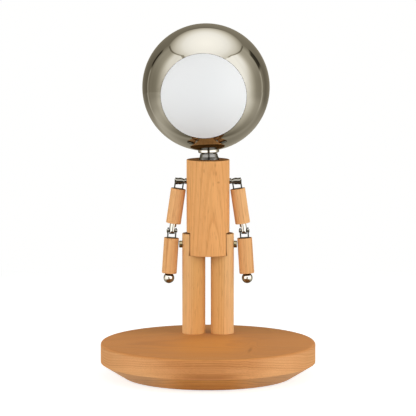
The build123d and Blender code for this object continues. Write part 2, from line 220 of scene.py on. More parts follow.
def repaint(finish, change, *values):
    """Takes the colour that a finish has, and puts what change makes of it in its place."""
    tree = finish.node_tree
    socket = tree.nodes["Principled BSDF"].inputs["Base Color"]
    fill(socket, change(tree, socket.links[0].from_socket, *values))


def times_colour(colour, *factors):
    """A plain colour times one factor, or times one for each channel."""
    factors = factors if len(factors) == 3 else 3 * factors
    return tuple(channel * factor for channel, factor in zip(colour, factors))


def wear(finish, *names):
    """Puts a finish on CAD nodes, in their own material slots."""
    for name in names:
        for slot in lamp[name].material_slots:
            slot.material = finish
    print(finish.name, "on", ", ".join(names))


print("helpers for finishes ready")

# %% [markdown]
# ## The studio that metal mirrors
# A mirror has no look of its own: it shows the room. So the room is drawn first, as a pattern by
# direction that only mirror rays see. It is a pale studio with a bright paper ceiling over the
# lamp, walls that are bright beside the camera and fall off into the dark behind the lamp, and a
# dark slit straight in front, where the camera stands. That slit is the fine dark line down the
# middle of every polished cylinder. A thin seam runs where walls and ceiling meet, a dark curtain
# hangs at the back on each side, and a crack of light shows low beside it. The same could be
# built from real panels, but a pattern by direction needs no geometry and throws no shadows.

# %% The room in numbers
ROOM_LIGHT = 4.05  # the brightest wall
CEILING_LIGHT = 4.4  # the brightest part of the ceiling

# Directions are shares of a half turn: 0 is in front, where the camera stands, and 1 is behind.
# Heights are shares of a quarter turn: 0 is the horizon, and 1 is overhead.
WALLS = ((0.42, 1.0), (0.50, 0.56), (0.545, 0.36), (0.577, 0.26), (0.63, 0.22), (0.67, 0.22),
         (0.75, 0.105), (1.0, 0.09))
CEILING = ((0.42, 0.18), (0.556, 0.58), (0.667, 0.82), (0.78, 0.93), (0.95, 1.0))
CEILING_EDGE = ((0.42, 0.567), (0.667, 0.467), (0.75, 0.425), (0.90, 0.435), (1.0, 0.463))
SEAM = ((0.33, 0.0), (0.36, 1.0), (0.71, 1.0), (0.74, 0.0), (0.90, 0.0), (0.94, 1.0))
SLIT_SIDE, SLIT_TOP = (0.050, 0.090), (0.20, 0.38)  # where the slit in front fades out
CURTAIN_AT, CURTAIN_FOOT, CURTAIN_TOP = 0.733, (0.12, 0.18), (0.31, 0.36)
CRACK_AT, CRACK_TOP, CRACK_LIGHT = 0.725, (0.10, 0.16), 0.14
print("brightest wall", ROOM_LIGHT, "brightest ceiling", CEILING_LIGHT)


# %% The room: how it is measured, and what both walls and floor show
def around(tree, across, forward):
    """How far round from the front a direction is, whether to the left or to the right."""
    angle = calc(tree, "ARCTAN2", across, forward)
    return calc(tree, "DIVIDE", calc(tree, "ABSOLUTE", angle), pi)


def right_half(tree, across):
    """0 in the left half of the room, 1 in the right."""
    return rise(tree, across, -0.3, 0.3)


def crack_of_light(tree, about, right, soft):
    """A narrow streak on each side at the back, which starts a little sooner on the right."""
    off = calc(tree, "ABSOLUTE", scaled(tree, right, 0.045, less(tree, about, CRACK_AT)))
    return rise(tree, off, 0.004, soft, CRACK_LIGHT, 0.0)


def dimmed(tree, light, amount):
    """Takes a share of the light away."""
    return calc(tree, "MULTIPLY", light, less(tree, 1.0, amount))


print("the curtain hangs", round(180 * CURTAIN_AT), "degrees round from the front")


# %% The room: walls, curtain and ceiling
def wall_light(tree, about, up, right):
    """Walls with the slit in front. They are a little brighter high up, and on the right."""
    slit = times(tree, rise(tree, about, *SLIT_SIDE, 0.95, 0.0),
                 rise(tree, up, *SLIT_TOP, 1.0, 0.0))
    light = dimmed(tree, ramp(tree, about, *WALLS), slit)
    higher = times(tree, rise(tree, up, 0.04, 0.44), rise(tree, about, 0.42, 0.52), 0.65)
    return times(tree, light, scaled(tree, right, 0.15, 0.85), ROOM_LIGHT,
                 calc(tree, "ADD", higher, 1.0))


def curtain(tree, about, up, right):
    """How much the curtain swallows. It hangs a little above the horizon, wider on the right."""
    off = calc(tree, "ABSOLUTE", scaled(tree, right, 0.016, less(tree, about, CURTAIN_AT)))
    folds = scaled(tree, right, -0.018, off)
    return times(tree, rise(tree, folds, 0.008, 0.026, 0.85, 0.0),
                 rise(tree, up, *CURTAIN_FOOT), rise(tree, up, *CURTAIN_TOP, 1.0, 0.0))


def studio(tree):
    """How bright the room is in the direction of a ray."""
    way = axes(tree, tree.nodes.new("ShaderNodeTexCoord").outputs["Generated"])
    about = around(tree, way[0], calc(tree, "MULTIPLY", way[1], -1.0))
    up = calc(tree, "DIVIDE", calc(tree, "ARCSINE", way[2]), pi / 2)
    right = right_half(tree, way[0])

    walls = wall_light(tree, about, up, right)
    ceiling = calc(tree, "MULTIPLY", ramp(tree, up, *CEILING), CEILING_LIGHT)
    edge = less(tree, up, ramp(tree, about, *CEILING_EDGE))
    light = scaled(tree, less(tree, ceiling, walls), rise(tree, edge, -0.008, 0.008), walls)

    seam = rise(tree, calc(tree, "ABSOLUTE", edge), 0.004, 0.016, 0.6, 0.0)
    light = dimmed(tree, light, calc(tree, "MULTIPLY", seam, ramp(tree, about, *SEAM)))
    light = dimmed(tree, light, curtain(tree, about, up, right))
    crack = times(tree, crack_of_light(tree, about, right, 0.018),
                  rise(tree, up, *CRACK_TOP, 1.0, 0.0), ROOM_LIGHT)
    return calc(tree, "ADD", light, crack)


print("studio ready, for mirror rays only")

# %% [markdown]
# ## The background
# To the camera the world is plain white, so that the lamp stands free. As a light it is dim and
# grey, so that wood and glass keep the colours they are given. Light Path tells the three kinds of
# ray apart: camera and glass rays see white, mirror rays see the room, and all others the dim sky.
# The darker a part of the room is, the warmer it is drawn, so the shadows in the steel are golden.

# %% World: white to look at, a room to mirror, dim as a light
SKY_LIGHT = 0.28
PAPER_WHITE = (1.0, 1.0, 0.995)


def kinds_of_ray(tree):
    """Two marks: 1 for rays from the camera or through glass, and 1 for rays off a mirror."""
    path = tree.nodes.new("ShaderNodeLightPath").outputs
    looks = calc(tree, "MAXIMUM", path["Is Camera Ray"], path["Is Transmission Ray"])
    return looks, path["Is Glossy Ray"]


world = bpy.data.worlds.new("white_studio")
world.use_nodes = True
bpy.context.scene.world = world
tree = world.node_tree
looks, mirrors = kinds_of_ray(tree)
room = studio(tree)
warmth = ramp(tree, calc(tree, "DIVIDE", room, ROOM_LIGHT), (0.05, (1.0, 0.87, 0.62)),
              (0.25, (1.0, 0.925, 0.75)), (0.95, (1.0, 1.0, 1.0)))
strength = scaled(tree, looks, 1.0 - SKY_LIGHT, SKY_LIGHT)
strength = scaled(tree, mirrors, less(tree, room, SKY_LIGHT), strength)
sky = tree.nodes["Background"].inputs
fill(sky["Color"], mix(tree, mirrors, PAPER_WHITE, warmth))
fill(sky["Strength"], strength)
print("sky strength:", SKY_LIGHT, "as light, 1.0 to look at")

# %% [markdown]
# ## The floor
# The lamp stands on a pale floor that runs into white without an edge. A real studio bends a paper
# roll up behind the object. Here the floor is a disc whose middle takes light and shadow like
# painted board, and whose rim fades to the same white as the world behind it. Painted board alone
# would show dark in a ball that mirrors it, so mirror rays get a pattern here too. It carries on
# from the foot of the walls all the way round, and is a little darker close to the lamp: a painted
# shadow of the lamp in what mirrors show.

# %% Floor: a large disc just under the felt
FLOOR_RADIUS = 3.0
FLOOR_DROP = 0.0002  # keeps the felt and the floor from fighting for the same height
FIGURE_Y = 0.062  # the figure stands this far behind the middle of its base

floor_mesh = bpy.data.meshes.new("floor")
shape = bmesh.new()
bmesh.ops.create_circle(shape, cap_ends=True, segments=96, radius=FLOOR_RADIUS)
shape.to_mesh(floor_mesh)
shape.free()
floor = into_scene("floor", floor_mesh)
floor.location.z = -FLOOR_DROP
print("floor radius", FLOOR_RADIUS, "m")

# %% Floor: what mirrors see of it
# as for the walls: (way round from the front, share of ROOM_LIGHT)
NEAR_FLOOR = ((0.0, 0.04), (0.050, 0.04), (0.090, 0.9), (0.40, 0.9), (0.50, 0.66), (0.583, 0.38),
              (0.667, 0.29), (0.75, 0.19), (1.0, 0.13))
FAR_FLOOR = ((0.0, 0.04), (0.050, 0.04), (0.090, 0.95), (0.42, 0.95), (0.50, 0.53), (0.545, 0.35),
             (0.577, 0.26), (0.63, 0.22), (0.67, 0.21), (0.75, 0.10), (1.0, 0.09))
BRIGHT_SPOT = (-0.42, 0.38, 0.0)


def floor_in_mirrors(tree, at, from_middle):
    """How bright the floor is to a mirror, as a share of ROOM_LIGHT."""
    way = axes(tree, at)
    about = around(tree, way[0], less(tree, FIGURE_Y, way[1]))
    # painted shadow: in mirrors the floor is dimmer close to the lamp, in front of it
    close = ramp(tree, from_middle, (0.14, 0.30), (0.33, 0.62), (0.60, 0.86), (1.0, 1.0))
    close = calc(tree, "MAXIMUM", close, rise(tree, about, 0.55, 0.72))
    spot = rise(tree, far_from(tree, at, BRIGHT_SPOT), 0.05, 0.40, 0.12, 0.0)
    near = scaled(tree, ramp(tree, about, *NEAR_FLOOR), close, spot)
    far = ramp(tree, about, *FAR_FLOOR)
    light = scaled(tree, less(tree, far, near), rise(tree, from_middle, 0.45, 1.9), near)
    crack = crack_of_light(tree, about, right_half(tree, way[0]), 0.022)
    return scaled(tree, crack, rise(tree, from_middle, 0.45, 1.3), light)


print("darkest floor in a mirror:", min(share for _, share in NEAR_FLOOR + FAR_FLOOR))

# %% Floor: board in the middle, white at the rim
BOARD_PAINT = (0.62, 0.67, 0.69)
BOARD_GLOW = 0.68  # lifts the board towards white, and leaves it a weak, soft shadow
BOARD_EDGE, RIM_EDGE = 0.30, 0.90  # metres from the middle: board up to here, white from there


def glowing(tree, colour, strength):
    return place(tree, "Emission", {"Color": colour, "Strength": strength}).outputs[0]


def mixed_shader(tree, amount, first, second):
    return place(tree, "MixShader", {0: amount, 1: first, 2: second}).outputs[0]


board = bpy.data.materials.new("pale_board")
board.use_nodes = True
tree = board.node_tree
tree.nodes.remove(tree.nodes["Principled BSDF"])
looks, mirrors = kinds_of_ray(tree)
at = object_place(tree)
from_middle = far_from(tree, at)

paint = place(tree, "BsdfDiffuse", {"Color": BOARD_PAINT}).outputs[0]
glow = glowing(tree, PAPER_WHITE, times(tree, looks, BOARD_GLOW))
painted = place(tree, "AddShader", {0: paint, 1: glow}).outputs[0]
rim = ramp(tree, from_middle, (BOARD_EDGE, 0.0), (RIM_EDGE, 1.0))
seen = mixed_shader(tree, rim, painted, glowing(tree, PAPER_WHITE, looks))

share = floor_in_mirrors(tree, at, from_middle)
warmth = ramp(tree, share, (0.08, (1.0, 0.89, 0.66)), (0.25, (1.0, 0.925, 0.76)),
              (0.9, (1.0, 1.0, 0.98)))
mirrored = glowing(tree, warmth, times(tree, share, ROOM_LIGHT))
fill(tree.nodes["Material Output"].inputs["Surface"], mixed_shader(tree, mirrors, seen, mirrored))
floor_mesh.materials.append(board)
print(board.name, "on", floor.name)

# %% [markdown]
# ## Soft lamps
# Eight soft boxes light the lamp: one overhead, a tall one at each side, two in front, left and
# right of the camera, two weaker ones behind, and a low one in front that reaches the undersides.
# The side boxes give the most light, so that the round base and the dowels are a little darker in
# the middle than at their edges. Each box fades towards its edges as real cloth does. Mirror rays
# don't see the boxes, because the room above holds every highlight.

# %% Recipe for a soft box
FIGURE_MIDDLE = Vector((0.0, FIGURE_Y, 0.25))
BOX_POWER = 4.0  # watts from a square metre of box at brightness 1
EDGE_LIGHT = 0.25  # what is left of the light at the very edge of the cloth


def cloth(light, fade):
    """Dims a box towards its edges; fade is how wide the dimmer border is, in shares of a side."""
    light.use_nodes = True
    tree = light.node_tree
    across = axes(tree, tree.nodes.new("ShaderNodeNewGeometry").outputs["Parametric"])
    inwards = [calc(tree, "PINGPONG", across[axis], 0.5) for axis in (0, 1)]
    bright = times(tree, *(rise(tree, edge, 0.0, fade) for edge in inwards))
    fill(tree.nodes["Emission"].inputs["Strength"],
         scaled(tree, bright, 1.0 - EDGE_LIGHT, EDGE_LIGHT))


def soft_box(name, azimuth, elevation, distance, width, height, brightness,
             tint=(1.0, 1.0, 1.0), fade=0.25):
    """A rectangle of light that faces the lamp. Azimuth is 0 in front and 90 at the right."""
    light = bpy.data.lights.new(name, "AREA")
    light.shape = "RECTANGLE"
    light.size, light.size_y = width, height
    light.energy = BOX_POWER * width * height * brightness
    light.color = tint
    cloth(light, fade)
    box = into_scene(name, light)
    a, e = radians(azimuth), radians(elevation)
    out = Vector((sin(a) * cos(e), -cos(a) * cos(e), sin(e)))
    box.location = FIGURE_MIDDLE + distance * out
    box.rotation_euler = out.to_track_quat("Z", "Y").to_euler()
    box.visible_camera = box.visible_glossy = False
    print(name, "at", [round(v, 2) for v in box.location])


print("all boxes face", [round(v, 3) for v in FIGURE_MIDDLE])

# %% Lamps: soft boxes around the figure
WARM, COOL = (1.0, 0.985, 0.95), (0.96, 0.98, 1.0)
soft_box("top_box", 0, 84, 1.05, 1.75, 1.40, 0.20, tint=WARM, fade=0.35)
soft_box("right_wall", 76, 6, 1.30, 1.20, 1.40, 2.25, tint=(1.0, 0.99, 0.96), fade=0.30)
soft_box("left_wall", -76, 6, 1.30, 1.20, 1.40, 1.8, tint=(1.0, 0.98, 0.95), fade=0.30)
soft_box("right_front", 42, 4, 1.70, 1.20, 1.70, 1.92, fade=0.12)
soft_box("left_front", -42, 4, 1.70, 1.20, 1.70, 1.72, fade=0.12)
soft_box("right_back", 142, 12, 1.60, 1.00, 1.20, 1.1, tint=COOL, fade=0.30)
soft_box("left_back", -142, 12, 1.60, 1.00, 1.20, 1.1, tint=COOL, fade=0.30)
soft_box("low_front", 0, -7, 1.30, 1.60, 0.30, 2.2, tint=(0.94, 0.97, 1.0), fade=0.20)

# %% [markdown]
# ## Wood
# Base, body and arms are all turned from the same honey-coloured softwood under a thin oil finish.
# Wood is not a pattern painted on a surface: a tree is a stack of thin cones round a heart line,
# and a turner cuts the piece out of it. So the recipe reads the distance from a heart line in the
# space of the piece, and turns it into yearly rings: pale early wood that slowly darkens, then a
# sharp edge where winter came. Cut faces then show the right figure by themselves: straight lines
# on a dowel, arches on a board, arcs on end grain.

# %% Wood: yearly rings
# one year from spring to winter: how much late wood there is
SEASONS = ((0.0, 0.30), (0.10, 0.0), (0.50, 0.10), (0.78, 0.50), (0.92, 1.0), (1.0, 0.6))


def year_noise(tree, years, scale, detail):
    """Noise that changes from year to year only."""
    return place(tree, "TexNoise", {"W": years, "Scale": scale, "Detail": detail},
                 noise_dimensions="1D").outputs[0]


def late_wood(tree, at, ring, wobble, bend):
    """How much late wood there is at a place: the rings are pushed about by slow growth and by
    small wobbles, and their widths and strengths differ."""
    distance = far_from(tree, stretch(tree, at, 1.0, 1.0, 0.0))
    if bend:
        distance = calc(tree, "ADD", distance, bend(tree))
    slow = noise(tree, at, (22.0, 22.0, 5.0), 1.5)
    fine = noise(tree, at, (160.0, 160.0, 14.0))
    distance = scaled(tree, slow, 2.0 * wobble, distance)
    distance = scaled(tree, fine, 0.25 * wobble, distance)
    years = calc(tree, "DIVIDE", distance, ring)
    years = scaled(tree, year_noise(tree, years, 0.45, 1.0), 1.6, years)
    which = year_noise(tree, calc(tree, "FLOOR", years), 3.7, 0.0)
    return calc(tree, "MULTIPLY", ramp(tree, calc(tree, "FRACT", years), *SEASONS),
                ramp(tree, which, (0.30, 0.25), (0.70, 1.0)))


print("late wood is darkest", max(SEASONS, key=lambda stop: stop[1])[0], "of the way round a year")


# %% Wood: colour along the grain and on the end grain
def long_grain(tree, at, winter, fibre, fleck, early, late):
    """Broad bands vary in tone, short dark flecks lie among the rings, fibres run through all."""
    colour = mix(tree, winter, early, late)
    bands = ramp(tree, noise(tree, at, (34.0, 34.0, 5.0)), (0.40, 0.0), (0.72, 0.60))
    colour = mix(tree, bands, colour, times_colour(early, 0.93, 0.85, 0.78))
    colour = mix(tree, fleck, colour, times_colour(late, 0.60))
    streak = scaled(tree, fibre, 0.36, 0.82)
    grey = place(tree, "CombineColor", {0: streak, 1: streak, 2: streak}).outputs[0]
    return mix(tree, 1.0, colour, grey, "MULTIPLY")


def faces_along(tree, normal, lean):
    """1 on end grain, which looks along the heart line, and 0 on long grain."""
    along = Vector((0.0, 0.0, 1.0))
    along.rotate(Euler(lean))
    facing = place(tree, "VectorMath", {0: normal, 1: along}, operation="DOT_PRODUCT")
    facing = calc(tree, "ABSOLUTE", facing.outputs["Value"])
    return ramp(tree, facing, (0.72, 0.0), (0.96, 1.0))


END_EARLY, END_LATE = (0.22, 0.094, 0.022), (0.13, 0.052, 0.011)
print("end grain: early wood", END_EARLY, "late wood", END_LATE)


# %% Recipe for wood
WOOD_GLOSS = 0.12
WOOD_RELIEF = 0.00006


def wood(name, heart, lean, ring, early, late, contrast=0.75, wobble=0.0025, seed=0.0, thirst=0.92,
         bend=None, flecks=0.26):
    """heart: a point on the tree's heart line; lean: Euler angles that turn Z along the grain;
    ring: the mean width of a yearly ring, and wobble: how far rings stray, all in metres. early
    and late are the colours of the two woods, and contrast is how much they differ; thirst is how
    much the end grain darkens, flecks how strong the flecks are. bend gives the way in which a
    knot pushes the rings aside, and seed moves the piece along its tree."""
    finish, tree, shader = new_finish(name, Specular_IOR_Level=WOOD_GLOSS)
    coordinates = tree.nodes.new("ShaderNodeTexCoord").outputs
    at = place(tree, "Mapping", {"Vector": coordinates["Object"], "Location": heart,
                                 "Rotation": Euler(lean)}, vector_type="TEXTURE").outputs[0]
    at = place(tree, "VectorMath", {0: at, 1: (0.0, 0.0, seed)}, operation="ADD").outputs[0]
    winter = late_wood(tree, at, ring, wobble, bend)
    fibre = noise(tree, at, (1300.0, 1300.0, 26.0), 2.5, 0.6)
    fleck = ramp(tree, noise(tree, at, (850.0, 850.0, 75.0), 1.0), (0.61, 0.0), (0.72, 1.0))
    colour = long_grain(tree, at, calc(tree, "MULTIPLY", winter, contrast), fibre,
                        times(tree, fleck, flecks), early, late)

    # end grain drinks the oil, so it is much darker and duller
    end_grain = faces_along(tree, coordinates["Normal"], lean)
    dark = mix(tree, winter, END_EARLY, END_LATE)
    fill(shader["Base Color"], mix(tree, times(tree, end_grain, thirst), colour, dark))
    rough = scaled(tree, fibre, 0.12, scaled(tree, winter, -0.06, 0.50))
    fill(shader["Roughness"], scaled(tree, end_grain, 0.38, rough))
    relief = scaled(tree, fleck, -1.2, scaled(tree, winter, 0.5, fibre))
    fill(shader["Normal"], bump(tree, relief, WOOD_RELIEF))
    return finish


print("wood recipe ready")

# %% [markdown]
# ## The turned base
# The base is one board, laid flat, turned round and bevelled below. The grain runs from side to
# side. The heart of the tree lay far above the board, so the rings on the rim sag towards the
# sides. A thin branch once crossed the board near the front right: sawn along its length, it is a
# narrow dark mark, and the rings step aside around it. The knot is measured first, because the
# rings have to know about it.

# %% Base: a flat board with a narrow knot
KNOT = Vector((0.0479, -0.0594, 0.040))
KNOT_SIZE = (0.0022, 0.019, 0.012)  # half its width, length and depth
KNOT_TURN = 6.0  # degrees


def from_knot(tree):
    """0 in the middle of the knot, 1 at its edge: it is long, narrow and a little turned."""
    off = place(tree, "VectorMath", {0: object_place(tree), 1: KNOT}, operation="SUBTRACT")
    turned = place(tree, "VectorRotate", {"Vector": off.outputs[0], "Angle": radians(KNOT_TURN)},
                   rotation_type="Z_AXIS").outputs[0]
    return far_from(tree, stretch(tree, turned, *(1 / size for size in KNOT_SIZE)))


def knot_bend(tree):
    """How far the rings step aside, in metres."""
    return rise(tree, from_knot(tree), 0.4, 4.5, 0.0032, 0.0)


base_wood = wood("base_wood", heart=(0.0, 0.0, 0.55), lean=(0.0, radians(91.2), radians(1.5)),
                 ring=0.0026, early=(0.60, 0.258, 0.080), late=(0.40, 0.138, 0.034),
                 contrast=0.82, wobble=0.0030, seed=0.31, thirst=0.15, bend=knot_bend, flecks=0.12)
wear(base_wood, "base_disc")

# %% [markdown]
# ## How the tone of the base varies
# Rings alone give a board that is the same everywhere. A dark bundle of late rings shows low on the
# front of the rim. The other zones are painted light and shade: the rim is painted a deep, warm
# brown in the middle as painted shade and pale on both flanks as painted light, and the bevel below
# it is painted lighter for the light that the floor throws up. The flat top is painted darker and
# evener than the rim as painted shade, golden in its middle, and darker still towards the back,
# where the figure shades it. Each of these is a soft zone on the board, laid over the colour that
# the recipe made. The heights say where a zone fades in or out.

# %% Base: the bundle, and painted light and shade on the rim and the bevel
BUNDLE_HEIGHT, BUNDLE_COLOUR = 0.0205, (0.27, 0.083, 0.018)
BELOW_TOP, ABOVE_BEVEL, BEVEL = (0.036, 0.0395), (0.016, 0.019), (0.0155, 0.0175)
# painted light on the flanks, painted shade in the middle of the rim, painted floor light on the
# bevel
PAINTED_LIGHT_FLANKS, PAINTED_SHADE_MIDDLE = (1.28, 1.66, 2.5), (0.86, 0.84, 0.90)
PAINTED_BOUNCE_BEVEL = (1.30, 1.26, 1.05)


def rim_zones(tree, plain):
    """The dark bundle of late rings, then painted light on the flanks, painted shade in the middle
    and painted light from the floor on the bevel, which meet in ragged lines along the grain.
    """
    x, y, height = axes(tree, object_place(tree))
    sideways = calc(tree, "ABSOLUTE", x)
    off_bundle = calc(tree, "ABSOLUTE", less(tree, height, BUNDLE_HEIGHT))
    bundle = times(tree, rise(tree, sideways, 0.010, 0.048, 1.0, 0.0),
                   rise(tree, off_bundle, 0.001, 0.0045, 1.0, 0.0),
                   rise(tree, y, -0.10, -0.09, 0.48, 0.0))
    plain = mix(tree, bundle, plain, BUNDLE_COLOUR)

    ragged = noise(tree, object_place(tree), (14.0, 14.0, 60.0))
    ragged = scaled(tree, ragged, 0.06, sideways)
    below_top = rise(tree, height, *BELOW_TOP, 1.0, 0.0)
    # painted light on the flanks, then painted shade in the middle
    flanks = times(tree, rise(tree, ragged, 0.045, 0.115, 0.0, 0.52), below_top)
    plain = toned(tree, flanks, plain, PAINTED_LIGHT_FLANKS)
    middle = times(tree, rise(tree, ragged, 0.050, 0.105, 0.75, 0.0), below_top,
                   rise(tree, height, *ABOVE_BEVEL))
    plain = toned(tree, middle, plain, PAINTED_SHADE_MIDDLE)
    # painted light from the floor on the bevel
    bevel = times(tree, rise(tree, ragged, 0.060, 0.105, 1.0, 0.0),
                  rise(tree, height, *BEVEL, 1.0, 0.0))
    return toned(tree, bevel, plain, PAINTED_BOUNCE_BEVEL)


repaint(base_wood, rim_zones)
print("rim painted from", 1000 * BEVEL[1], "to", 1000 * BELOW_TOP[1], "mm above the floor")

# %% Base: painted shade on the top, and the knot
TOP_EDGE = (0.0385, 0.0397)
# painted shade: the top is darker and evener than the rim, darker on its sides and darker still at
# the back
SHADED_TOP_COLOUR, KNOT_COLOUR = (0.50, 0.212, 0.066), (0.22, 0.072, 0.016)
GOLDEN_MIDDLE, SHADED_TOP_SIDES, SHADED_TOP_BACK = (1.07, 1.03, 0.80), (0.92, 0.92, 0.88), (0.72, 0.73, 0.64)


def top_zones(tree, plain):
    """The top painted darker and of nearly one tone as painted shade, then tinted: golden in the
    middle, darker on the sides, and darker still towards the back, painted shade where the figure
    shades it.
    """
    _, y, height = axes(tree, object_place(tree))
    off = far_from(tree, stretch(tree, object_place(tree), 18.0, 16.0, 0.0), (0.0, -0.35, 0.0))
    golden = rise(tree, off, 0.4, 1.5, 1.0, 0.0)
    tone = mix(tree, golden, SHADED_TOP_SIDES, GOLDEN_MIDDLE)
    # painted shade towards the back, where the figure shades the top
    tone = mix(tree, rise(tree, y, 0.0, 0.10), tone, SHADED_TOP_BACK)
    top = mix(tree, 1.0, mix(tree, 0.45, plain, SHADED_TOP_COLOUR), tone, "MULTIPLY")
    return mix(tree, rise(tree, height, *TOP_EDGE), plain, top)


def knot_zone(tree, plain):
    """The knot itself, dark in the middle and soft at its edge."""
    amount = rise(tree, from_knot(tree), 0.1, 1.5, 0.50, 0.0)
    return mix(tree, amount, plain, KNOT_COLOUR)


repaint(base_wood, top_zones)
repaint(base_wood, knot_zone)
print("knot", round(2000 * KNOT_SIZE[0], 1), "mm wide, at", [round(v, 3) for v in KNOT])

# %% [markdown]
# ## Body and legs
# Torso and legs are straight-grained dowels. Their hearts lie well outside the piece, so the rings
# cross them as nearly straight lines about three millimetres apart. Each dowel comes from another
# part of the tree: moving and turning the heart line is enough to give each its own figure. The
# legs are painted paler on their outer sides, a painted light, and a few pin knots no wider than a
# grain of rice mark the chest.

# %% Body and legs: three dowels
torso_wood = wood("torso_wood", heart=(-0.012, 0.118, 0.20), lean=(0.035, -0.010, 0.0),
                  ring=0.0029, early=(0.76, 0.385, 0.142), late=(0.53, 0.215, 0.058),
                  contrast=0.85, seed=1.7)
LEG_LATE, LEG_CONTRAST = (0.48, 0.205, 0.055), 0.68
leg_left_wood = wood("leg_left_wood", heart=(-0.075, 0.120, 0.10), lean=(0.012, 0.010, 0.0),
                     ring=0.0028, early=(0.70, 0.380, 0.134), late=LEG_LATE,
                     contrast=LEG_CONTRAST, seed=2.9)
leg_right_wood = wood("leg_right_wood", heart=(0.085, 0.115, 0.10), lean=(-0.010, -0.014, 0.0),
                      ring=0.0030, early=(0.70, 0.382, 0.138), late=LEG_LATE,
                      contrast=LEG_CONTRAST, seed=4.3)
wear(torso_wood, "torso_block")
wear(leg_left_wood, "leg_left")
wear(leg_right_wood, "leg_right")

# %% Body and legs: pin knots, and painted light on the legs
# each knot: across and height of its middle, half its width and height, how dark it is
PIN_KNOTS = ((0.0122, 0.2218, 0.0017, 0.0013, 0.50), (0.0094, 0.2324, 0.0011, 0.0030, 0.42),
             (0.0085, 0.2424, 0.0011, 0.0026, 0.42), (-0.0048, 0.2355, 0.0009, 0.0028, 0.36),
             (0.0060, 0.2200, 0.0010, 0.0026, 0.30))
PIN_KNOT_COLOUR = (0.34, 0.125, 0.030)
# painted light: where the outer side of each leg starts to pale, and by how much
OUTER_LIGHT_FROM, OUTER_LIGHT_TINT = (0.014, 0.026), (1.09, 1.18, 1.46)


def pin_knots(tree, plain):
    """Small dark smudges on the front and back of the chest."""
    for across, height, wide, tall, amount in PIN_KNOTS:
        at = stretch(tree, object_place(tree), 1 / wide, 0.0, 1 / tall)
        off = far_from(tree, at, (across / wide, 0.0, height / tall))
        plain = mix(tree, rise(tree, off, 0.2, 1.4, amount, 0.0), plain, PIN_KNOT_COLOUR)
    return plain


def painted_outer_light(tree, plain, side):
    """Painted light: the wood is paler away from the middle, on the outer side of each leg. side is
    -1 for the left leg and 1 for the right one.
    """
    outwards = calc(tree, "MULTIPLY", axes(tree, object_place(tree))[0], side)
    return toned(tree, rise(tree, outwards, *OUTER_LIGHT_FROM), plain, OUTER_LIGHT_TINT)


repaint(torso_wood, pin_knots)
# painted light on the outer sides of the legs
repaint(leg_left_wood, painted_outer_light, -1)
repaint(leg_right_wood, painted_outer_light, 1)
print("pin knots on the chest:", len(PIN_KNOTS))

# %% [markdown]
# ## Arms
# The four arm dowels hang at a small angle, and their grain follows them. Because the texture is
# read in the space of each piece, it swings with the arm and never slides along the wood. The
# heart lines are set out round the dowels, each in another direction, so that no two arms match.

# %% Arms: one heart line for each dowel
SLANTS = {"upper_arm_left": 8.4, "upper_arm_right": -8.4, "forearm_left": 3.8,
          "forearm_right": -3.8}
ARM_RING, HEART_AWAY = 0.0027, 0.045
# painted light: the upper arms are painted lighter than the forearms, for the more light that falls
# on them
UPPER_EARLY_PAINTED_LIGHTER, FORE_EARLY = (0.78, 0.435, 0.190), (0.745, 0.405, 0.168)
ARM_LATE = (0.46, 0.180, 0.052)
for number, (name, slant) in enumerate(SLANTS.items()):
    low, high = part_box(name)
    turn = radians(50 + 95 * number)
    heart = (low + high) / 2 + HEART_AWAY * Vector((cos(turn), sin(turn), 0.0))
    wear(wood(name + "_wood", heart=heart, lean=(0.0, radians(slant), 0.0), ring=ARM_RING,
              early=UPPER_EARLY_PAINTED_LIGHTER if "upper" in name else FORE_EARLY, late=ARM_LATE,
              contrast=0.80, wobble=0.0018, seed=6.0 + 1.3 * number), name)

# %% [markdown]
# ## The mirror globe
# The head is a blown glass ball, plated so that it mirrors the room in a smoky, slightly warm grey.
# Smoke plating swallows most of the light: it is a metal shader with a dark grey-olive colour and
# almost no roughness. Two things keep it from looking computed: very faint waves in the wall, as in
# all blown glass, and a veil of handling marks that dulls the shine by a hair here and there.

# %% Mirror plating
SMOKE = (0.21, 0.2015, 0.178)
mirror, tree, shader = new_finish("mirror_plating", Metallic=1.0, Base_Color=SMOKE)
at = object_place(tree)
veil = ramp(tree, noise(tree, at, (38.0, 38.0, 52.0), 3.0), (0.45, 0.0), (0.80, 1.0))
fill(shader["Roughness"], scaled(tree, veil, 0.020, 0.010))
fill(shader["Normal"], bump(tree, noise(tree, at, (11.0, 11.0, 8.0), 1.0), 0.00020))
wear(mirror, "globe_shell")

# %% [markdown]
# ## The opal window
# A cap of white opal glass closes the opening of the globe and spreads the light of the bulb. Opal
# glass is milky all through: it shows hardly any shading and only a weak, broad gloss. Real depth
# could be had from scattering inside the glass, but so thin a cap looks the same with two whites
# that drift into each other.

# %% Opal glass
opal, tree, shader = new_finish("opal_glass", Specular_IOR_Level=0.10)
at = object_place(tree)
milk = noise(tree, at, 16.0)
fill(shader["Base Color"], mix(tree, milk, (0.80, 0.81, 0.815), (0.83, 0.835, 0.835)))
fill(shader["Roughness"], scaled(tree, milk, 0.10, 0.45))
fill(shader["Normal"], bump(tree, noise(tree, at, 900.0), 0.00001))
wear(opal, "window_lens")

# %% [markdown]
# ## Steel and brass
# There are four steels. The ring, the ball hands and the elbow tongues are turned and polished, and
# keep fine rings from the lathe. The collar under the ring is a darker, brushed sort, and its colour
# is painted darker still, as painted shade for the dark under the ring that it mirrors. The shoulder
# pins and their sleeves are turned too, but less bright. The bent strips of the brackets, and the
# small pins in the elbows, keep the long scratches of rolled stock. Screws and hidden nuts are dull
# zinc, and the round nuts at the hips are brass that has begun to tarnish. One recipe makes all
# six, because they differ only in colour, dullness and the direction of their scratches.

# %% Recipe for metals
EDGE_TINT = (0.45, 0.42, 0.34)  # what is left of the bright glare at the edge of round metal


